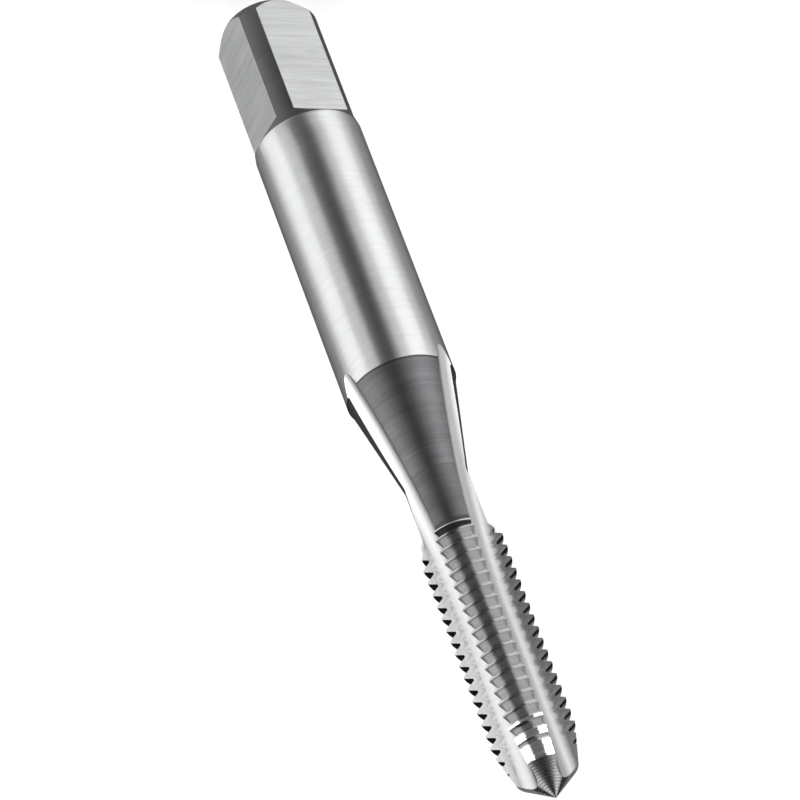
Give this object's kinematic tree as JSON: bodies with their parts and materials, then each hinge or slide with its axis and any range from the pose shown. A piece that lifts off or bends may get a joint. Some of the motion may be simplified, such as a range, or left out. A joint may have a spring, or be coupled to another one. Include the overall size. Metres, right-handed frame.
{
  "type": "thread tap",
  "caption": "Straight-fluted hand tap with a square drive end, round ground shank, tapered neck and male point, for cutting a fine internal thread.",
  "frame": {"origin": "centre of the flat end face of the square, where the tap stands", "axes": "+Z along the tap's axis, from the square end towards the point; X and Y square to the drive flats"},
  "size_m": [0.006, 0.006, 0.0522],
  "materials": {
    "tap_steel": "ground bright on the shank, flats and thread, dull and darker on the neck, square corners and chamfers"
  },
  "bodies": {
    "root": {"tap": "tap_steel"}
  },
  "joints": []
}
